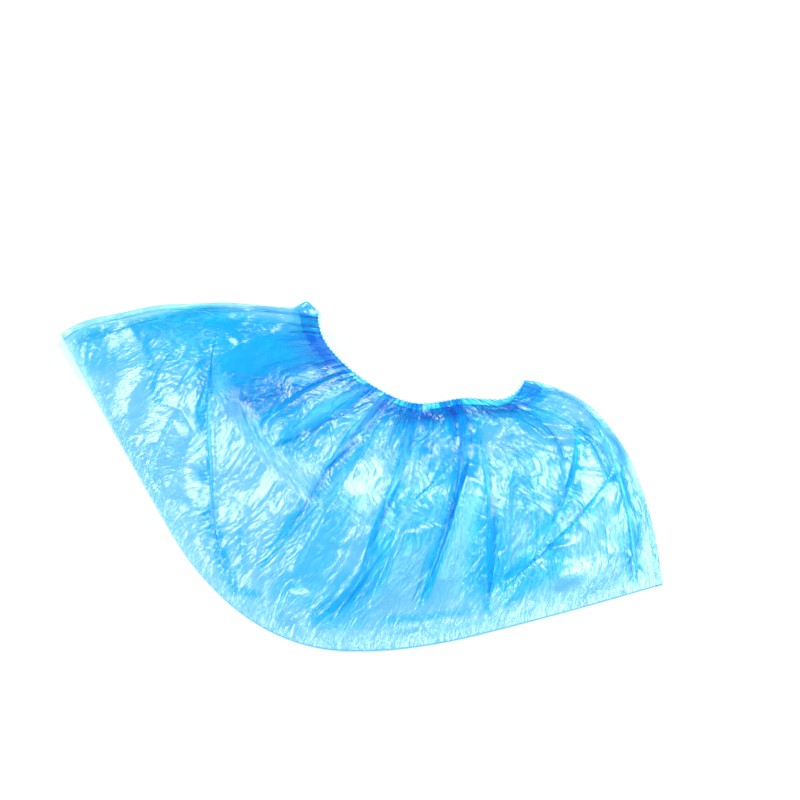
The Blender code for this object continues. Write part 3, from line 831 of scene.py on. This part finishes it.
def film_material(name, thin, packed, deep, scatter, body):
    """Tinted see-through film with scattering dye, and a glossy skin whose share grows at the edges."""
    m = new_material(name)
    place = add_node(m, "ShaderNodeAttribute", {"attribute_name": "film_place"})
    split = add_node(m, "ShaderNodeSeparateXYZ", {}, {0: place.outputs["Vector"]})
    banded = split.outputs["Z"]
    normal = film_relief(m, place.outputs["Vector"], banded)
    through = add_node(m, "ShaderNodeBsdfTranslucent", {}, {"Color": linear(body), "Normal": normal})
    back = add_node(m, "ShaderNodeBsdfDiffuse", {}, {"Color": linear(body), "Normal": normal})
    dye = add_node(m, "ShaderNodeMixShader", {}, {0: 0.5, 1: through.outputs[0], 2: back.outputs[0]})
    film = film_body(m, banded, thin, packed, deep, scatter, dye.outputs[0])
    gloss = add_node(m, "ShaderNodeBsdfGlossy", {}, {
        "Color": (1, 1, 1, 1), "Roughness": FILM_ROUGHNESS, "Normal": normal})
    facing = add_node(m, "ShaderNodeLayerWeight", {}, {"Blend": 0.5, "Normal": normal})
    grazing = add_node(m, "ShaderNodeMath", {"operation": "POWER"}, {0: facing.outputs["Facing"], 1: 5.0})
    edge = add_node(m, "ShaderNodeMath", {"operation": "MULTIPLY_ADD"}, {
        0: grazing.outputs[0], 1: GRAZING - STRAIGHT_ON, 2: STRAIGHT_ON})
    # Where layers are pressed together, light passes from film to film and meets no air to reflect from.
    wetted = add_node(m, "ShaderNodeMath", {"operation": "MULTIPLY_ADD"}, {0: banded, 1: -WETTED, 2: 1.0})
    mirrored = add_node(m, "ShaderNodeMath", {"operation": "MULTIPLY"}, {
        0: edge.outputs[0], 1: wetted.outputs[0]})
    skin = add_node(m, "ShaderNodeMixShader", {}, {
        0: mirrored.outputs[0], 1: film.outputs[0], 2: gloss.outputs[0]})
    add_node(m, "ShaderNodeOutputMaterial", {}, {"Surface": skin.outputs[0]})
    return m


# The deep tint serves the finer folds, and on the pouch's steep film it is painted shade.
FILM = film_material("blown_polyethylene_film", "#d3f1fc", "#cefaff", "#62e6fb", 0.06, "#08bef2")
HEM_FILM = film_material("turned_over_film", "#c2f3fc", "#bef9ff", "#6aecfd", 0.07, "#04bef2")
WELD_FILM = film_material("welded_film", "#d4f3fc", "#d4f3fc", "#78e2fb", 0.12, "#20c4f4")
print("film materials:", FILM.name, HEM_FILM.name, WELD_FILM.name)

# %% [markdown]
# ### The elastic
# The thread is latex, sewn into crimped film. It is matt and nearly opaque, so a plain Principled
# shader does. It is pale aqua, and the crest of each bead of the crimp is painted white as a highlight.

# %% Make the elastic's material


def elastic_material(name):
    """A fairly matt skin, whose colour goes from the gaps' aqua to white on the beads, a painted highlight.
    """
    m = new_material(name)
    crimp = add_node(m, "ShaderNodeAttribute", {"attribute_name": "crimp"})
    # White where the crimp value is high: a painted highlight on the crest of each bead.
    colour = add_node(m, "ShaderNodeMix", {"data_type": "RGBA"}, {
        "Factor": crimp.outputs["Fac"], 6: linear("#86d6f4"), 7: linear("#f4fdff")})
    skin = add_node(m, "ShaderNodeBsdfPrincipled", {}, {
        "Base Color": colour.outputs[2], "Roughness": 0.5, "IOR": 1.5})
    add_node(m, "ShaderNodeOutputMaterial", {}, {"Surface": skin.outputs[0]})
    return m


ELASTIC = elastic_material("crimped_elastic_edge")
print("elastic material:", ELASTIC.name)

# %% [markdown]
# ## The pouch
# Both layers and the small turn at the sole go into one grid, because they are one film. Two values
# go onto its points for the material: fullness, which deepens the tint for finer folds and, as
# painted shade, on steep film, and the place on the cut film in metres, with how far it lies in a
# pleat's band as the third number.

# %% Helpers for values on the film
PLEAT_FULLNESS = 0.12       # of the deepest tint, in a pleat's band, whose three layers deepen it already
STEEP_PAINTED_SHADE = 0.1        # of the deepest tint, painted shade on film so steep that light takes a longer way through


def fold_fullness_and_steep_shade(points, folded, inner):
    """The finer folds charted at the place, some for a pleat's band, and a little painted shade for steep
    film.
    """
    along = np.gradient(points, axis=1)
    down = np.gradient(points, axis=0)
    normal = np.cross(along, down)
    flat = np.abs(normal[..., 2]) / np.maximum(np.linalg.norm(normal, axis=2), 1e-12)
    steep = np.clip((1 / np.maximum(flat, 0.2) - 1) / 2, 0, 1)
    # Steep film gets a deeper tint: painted shade, for the longer way that light takes through it.
    return np.clip(PLEAT_FULLNESS * folded + inner * (1 - folded) + STEEP_PAINTED_SHADE * steep, 0, 1)


def store(obj, name, values):
    """Keeps a number, or a vector of three, for each point of the mesh."""
    values = np.ascontiguousarray(values, np.float32)
    vectors = values.ndim > 1 and values.shape[-1] == 3
    attribute = obj.data.attributes.new(name, "FLOAT_VECTOR" if vectors else "FLOAT", "POINT")
    attribute.data.foreach_set("vector" if vectors else "value", values.ravel())


none = np.zeros((3, 4))
level = np.dstack([*np.meshgrid(np.arange(4.0), np.arange(3.0)), none])
print("fullness of level film without folds:", fold_fullness_and_steep_shade(level, none, none).max())

# %% Build the pouch
UPPER_ROWS, UNDER_ROWS = 112, 70
TURNS_FROM = 0.992          # share of the way down where the round turn at the sole begins
TURN_ANGLES = (60, 20, -20, -60)        # where its rows lie, in degrees above its middle


def build_film():
    """The pouch as one grid: down the upper layer, round the turn at the sole, and back under."""
    first = 0.9 * HEM_DEPTH / FILM_DEPTH        # a little way up under the hem
    upper_down = np.linspace(first, TURNS_FROM, UPPER_ROWS)
    under_down = np.linspace(TURNS_FROM, first, UNDER_ROWS)
    upper, upper_film, upper_inner = layer(UPPER, upper_down, *UPPER_LOOKS, dome)
    under, under_film, under_inner = layer(UNDER, under_down, *UNDER_LOOKS, under_base)
    inset = END_INSET / SOLE_LENGTH
    upper_along = np.linspace(inset, 1 - inset, COLUMNS)
    turn = []
    for angle in TURN_ANGLES:
        c, s = math.cos(math.radians(angle)), math.sin(math.radians(angle))
        blend = (1 + s) / 2
        row = upper[-1] * blend + under[0] * (1 - blend)
        edge = plan(upper_along, TURNS_FROM + (1 - TURNS_FROM) * c)
        turn.append(np.column_stack([edge, row[:, 2]]))
    points = np.concatenate([upper, np.array(turn), under])
    obj = mesh_piece("film_pouch", points, grid_faces(len(points), COLUMNS), FILM)
    under_film[..., 1] = 2 * FILM_DEPTH - under_film[..., 1]
    place = np.concatenate([upper_film, np.repeat(upper_film[-1:], len(turn), axis=0), under_film])
    inner = np.concatenate([upper_inner, np.repeat(upper_inner[-1:], len(turn), axis=0), under_inner])
    # Fullness holds the finer folds, and painted shade where the film stands steep.
    store(obj, "fullness", fold_fullness_and_steep_shade(points, place[..., 2], inner))
    store(obj, "film_place", place)
    return obj


film = build_film()
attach(film, "root")
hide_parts("film_body")
print("film pouch:", len(film.data.polygons), "quads")

# %% [markdown]
# ## The hem
# At the mouth the film is turned over, so the gathered band there is two films deep on each side.
# It could be a darker stripe in the pouch's material, but the turned film has an edge of its own and
# its gathers show twice. So each side is a layer laid out to the rim and back, over the pouch's own
# pleats: the same seeds give the same gathers.

# %% Build the hem
HEM_FULLNESS = 0.25         # of the deepest tint, for the small gathers that fill the hem all along
TURNED_OVER = 0.6           # the hem's film lies pressed on itself, as inside a pleat's band
OUT_ROWS, BACK_ROWS = 12, 10
BACK_FROM, BACK_TO = 0.004, 0.93        # where the turned film starts, and its share of the hem's depth
UPPER_GAP, UNDER_GAP = 0.2 * MM, 0.1 * MM


def hem_side(pleats, seed, loose, base, gap):
    """One side of the hem: out along the film to the edge, a gap over it, and back a gap under it."""
    reach = HEM_DEPTH / FILM_DEPTH
    out_down = np.linspace(reach, 0.0, OUT_ROWS)
    back_down = np.linspace(BACK_FROM, reach * BACK_TO, BACK_ROWS)
    out, out_film, out_inner = layer(pleats, out_down, seed, loose, base)
    back, back_film, back_inner = layer(pleats, back_down, seed, loose, base)
    out[..., 2] += gap
    back[..., 2] = np.maximum(back[..., 2] - gap, FLOOR_CLEARANCE * 0.6)
    place = np.concatenate([out_film, back_film])
    place[..., 2] = np.maximum(place[..., 2], TURNED_OVER)
    return np.concatenate([out, back]), place, np.concatenate([out_inner, back_inner])


def build_hem():
    """Both sides of the hem as one mesh."""
    sides, films, inners = zip(
        hem_side(UPPER, *UPPER_LOOKS, dome, UPPER_GAP),
        hem_side(UNDER, *UNDER_LOOKS, under_base, UNDER_GAP),
    )
    points = np.concatenate([side.reshape(-1, 3) for side in sides])
    faces = grid_faces(OUT_ROWS + BACK_ROWS, COLUMNS)
    faces = np.concatenate([faces, faces + (OUT_ROWS + BACK_ROWS) * COLUMNS])
    obj = mesh_piece("gathered_hem", points, faces, HEM_FILM)
    inner = np.concatenate([inner.ravel() for inner in inners])
    store(obj, "fullness", np.clip(HEM_FULLNESS + inner, 0, 1))
    store(obj, "film_place", np.concatenate([place.reshape(-1, 3) for place in films]))
    return obj


hem = build_hem()
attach(hem, "root")
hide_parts("rim_hem")
print("hem:", len(hem.data.polygons), "quads")

# %% [markdown]
# ## The elastic
# A latex thread runs round the edge of the mouth. The film is crimped round it in small beads,
# whose crests are painted white as highlights, so they show as a pale dotted line. A curve with a
# bevel would give a plain thread. A tube made with numpy can swell at each bead.

# %% Build the elastic
THREAD_RISE = 1.2 * MM      # the thread's height over the dome at the mouth
THREAD_SIDES = 10
THREAD_STEPS = 600          # on each half of the ring
BEAD_SPACING = 2.4 * MM
BEAD_WAIST = 0.62           # of the full radius, between two beads


def ring_tube(route, radius, sides):
    """A closed tube: circles square to the route, with a radius of its own at each point."""
    ahead = np.roll(route, -1, axis=0) - np.roll(route, 1, axis=0)
    ahead /= np.linalg.norm(ahead, axis=1)[:, None]
    up = np.array([0, 0, 1.0]) - ahead * ahead[:, 2:3]
    weak = np.linalg.norm(up, axis=1) < 0.2
    up[weak] = np.cross(ahead[weak], [0.6, 0.8, 0])
    up /= np.linalg.norm(up, axis=1)[:, None]
    side = np.cross(ahead, up)
    angle = np.linspace(0, 2 * math.pi, sides, endpoint=False)
    ring = up[:, None] * np.sin(angle)[None, :, None] + side[:, None] * np.cos(angle)[None, :, None]
    points = route[:, None] + ring * radius[:, None, None]
    count = len(route)
    i, j = np.meshgrid(np.arange(count), np.arange(sides), indexing="ij")
    a, b = i * sides + j, i * sides + (j + 1) % sides
    c, d = ((i + 1) % count) * sides + (j + 1) % sides, ((i + 1) % count) * sides + j
    return points, np.stack([a, b, c, d], axis=-1).reshape(-1, 4)


def elastic_route(count):
    """Out along the upper rim, round the right end, and back along the under one."""
    share = np.linspace(0.004, 0.996, count)
    edge = plan(share, 0)
    run = np.gradient(edge, axis=0)
    away = np.column_stack([-run[:, 1], run[:, 0]]) / np.linalg.norm(run, axis=1)[:, None]
    place = edge + away * ELASTIC_DIAMETER * 0.2
    upper = np.column_stack([place, dome(share, 0 * share) + THREAD_RISE])
    under = np.column_stack([place + away * 0.3 * MM, 0 * share + ELASTIC_DIAMETER / 2 + 0.2 * MM])
    route = np.concatenate([upper, under[::-1]])
    for _ in range(6):
        route = (np.roll(route, 1, axis=0) + 2 * route + np.roll(route, -1, axis=0)) / 4
    return route


def build_elastic():
    """The ring, whose crimp is 1 on a bead and 0 between two, at spacings that vary a little. Its square
    paints a white highlight on each bead.
    """
    route = elastic_route(THREAD_STEPS)
    gone = np.concatenate([[0], np.cumsum(np.linalg.norm(np.diff(route, axis=0), axis=1))])
    rng = np.random.default_rng(3)
    wobble = np.interp(gone, np.linspace(0, gone[-1], 120), rng.uniform(-0.6, 0.6, 120))
    crimp = 0.5 + 0.5 * np.cos(2 * math.pi * gone / BEAD_SPACING + wobble * 3)
    radius = ELASTIC_DIAMETER / 2 * (BEAD_WAIST + (1 - BEAD_WAIST) * crimp)
    points, faces = ring_tube(route, radius, THREAD_SIDES)
    obj = mesh_piece("elastic_thread", points, faces, ELASTIC)
    # The crimp's square whitens the thread on each bead's crest: a painted highlight.
    store(obj, "crimp", np.repeat(crimp**2, THREAD_SIDES))
    print("elastic: a ring of %.0f mm with %.0f beads" % (gone[-1] / MM, gone[-1] / BEAD_SPACING))
    return obj


elastic = build_elastic()
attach(elastic, "root")
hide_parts("elastic_edge")

# %% [markdown]
# ## The welded ends
# A hot bar fuses both layers along each end in a narrow strip, and leaves its ribs in it. The strip
# is stiffer than the film, so it lies in long waves. The Solidify modifier gives it its thickness.

# %% Build the welds
WELD_TIP = 5 * MM           # the left weld stands out in a point beside the rim, where the film was trimmed
WELD_TIP_PLACE = 0.05       # share of the way down from the mouth
WELD_FULLNESS = 0.2         # of the deepest tint, since two films are fused
WELD_THICKNESS = 0.25 * MM
RIB_SPACING, RIB_HEIGHT = 1.3 * MM, 0.12 * MM
WELD_LEAST, WELD_RISE = 0.8 * MM, 0.9 * MM      # height at its ends, and how much higher it lies between
CURL_HEIGHT = 0.8 * MM


def both_ends(v, fade):
    """Grows from the mouth and dies out at the sole, over this share of the way down."""
    return smooth(v / fade) * smooth((1 - v) / fade)


def build_weld(name, at_right):
    """A strip from the mouth to the sole, with the bar's fine ribs pressed into it."""
    d, v = np.meshgrid(np.linspace(0, WELD_WIDTH, 7), np.linspace(0.0, 1.0, 240))
    corner = 0.0 if at_right else WELD_TIP * np.clip(1 - np.abs(v / WELD_TIP_PLACE - 1), 0, 1)
    share = (d - corner * (1 - d / WELD_WIDTH)) / row_length(v)
    along = 1 - share if at_right else share
    rib = RIB_HEIGHT * np.cos(2 * math.pi * v * FILM_DEPTH / RIB_SPACING)
    base = WELD_LEAST + WELD_RISE * both_ends(v, 0.05)
    curl = CURL_HEIGHT * np.sin(v * 23 + 2 * at_right) * both_ends(v, 0.1)
    z = np.maximum(base + curl, FLOOR_CLEARANCE) + rib + corner_lift(along, v)
    obj = mesh_piece(name, np.dstack([plan(along, v), z]), grid_faces(*d.shape), WELD_FILM)
    store(obj, "fullness", np.clip(WELD_FULLNESS + corner / WELD_TIP, 0, 1) + 0 * d)
    store(obj, "film_place", np.dstack([d, v * FILM_DEPTH, 0 * d]))
    solidify = obj.modifiers.new("film", "SOLIDIFY")
    solidify.thickness = WELD_THICKNESS
    return obj


for weld_name, node, at_right in (("left_weld", "heel_seam", False), ("right_weld", "toe_seam", True)):
    weld = build_weld(weld_name, at_right)
    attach(weld, "root")
    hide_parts(node)
    print(weld_name, "has", len(weld.data.polygons), "quads")

# %% [markdown]
# ## Floor, light and camera
# The photograph was taken from high above, on a white surface, in soft light from the upper right.
# A long lens keeps the cover's shape as flat as it is there.

# %% Lay the floor
FLOOR_REACH = 3.0           # metres each way, so that no edge shows


def build_floor():
    """A matt white square that belongs to the stage and not to the part."""
    mesh = bpy.data.meshes.new("floor")
    corners = [(x * FLOOR_REACH, y * FLOOR_REACH, 0) for x, y in ((-1, -1), (1, -1), (1, 1), (-1, 1))]
    mesh.from_pydata(corners, [], [(0, 1, 2, 3)])
    m = new_material("white_surface")
    matt = add_node(m, "ShaderNodeBsdfDiffuse", {}, {"Color": (0.93, 0.93, 0.93, 1)})
    add_node(m, "ShaderNodeOutputMaterial", {}, {"Surface": matt.outputs[0]})
    mesh.materials.append(m)
    floor = bpy.data.objects.new("floor", mesh)
    bpy.context.scene.collection.objects.link(floor)


build_floor()
print("floor: %.0f m square" % (2 * FLOOR_REACH))

# %% Set the lights
AMBIENT = 0.09              # the room's even light


def add_light(name, place, width, depth, power):
    """A rectangular soft light that points at the cover: sizes in metres, and power in watts."""
    data = bpy.data.lights.new(name, "AREA")
    data.shape = "RECTANGLE"
    data.size, data.size_y = width, depth
    data.energy = power
    light = bpy.data.objects.new(name, data)
    light.location = place
    aim = -light.location
    light.rotation_mode = "QUATERNION"
    light.rotation_quaternion = aim.to_track_quat("-Z", "Y")
    bpy.context.scene.collection.objects.link(light)


def set_world(strength):
    """Even white light from all round."""
    world = bpy.data.worlds.new("soft_white")
    bpy.context.scene.world = world
    world.use_nodes = True
    background = world.node_tree.nodes["Background"]
    background.inputs["Color"].default_value = (1, 1, 1, 1)
    background.inputs["Strength"].default_value = strength


add_light("key", (0.9, 0.42, 1.5), 0.75, 1.5, 38)
add_light("fill", (-0.9, 0.2, 1.2), 0.6, 0.6, 15)
set_world(AMBIENT)
print("lights:", ", ".join(light.name for light in bpy.data.lights))

# %% Set the camera
CAMERA_ELEVATION = 72       # degrees over the floor
CAMERA_DISTANCE = 1.56
CAMERA_LENS = 135
LOOK_AT = (0.0213, 0.0407, 0.0)


def set_camera():
    """A camera that stands on the near side and looks down at a point of the floor."""
    data = bpy.data.cameras.new("camera")
    data.lens = CAMERA_LENS
    data.sensor_width = 36
    camera = bpy.data.objects.new("camera", data)
    tilt = math.radians(CAMERA_ELEVATION)
    camera.location = (
        LOOK_AT[0],
        LOOK_AT[1] - CAMERA_DISTANCE * math.cos(tilt),
        LOOK_AT[2] + CAMERA_DISTANCE * math.sin(tilt),
    )
    camera.rotation_euler = (math.pi / 2 - tilt, 0, 0)
    bpy.context.scene.collection.objects.link(camera)
    bpy.context.scene.camera = camera


set_camera()
print("camera: %d mm lens, %d degrees over the floor" % (CAMERA_LENS, CAMERA_ELEVATION))

# %% Let light pass many layers
scene = bpy.context.scene
scene.view_settings.view_transform = "Standard"
scene.cycles.transparent_max_bounces = 40       # a sight line through a gathered place meets many films
scene.cycles.max_bounces = 6
scene.cycles.diffuse_bounces = 3
scene.cycles.glossy_bounces = 2
print("films that light may pass:", scene.cycles.transparent_max_bounces)
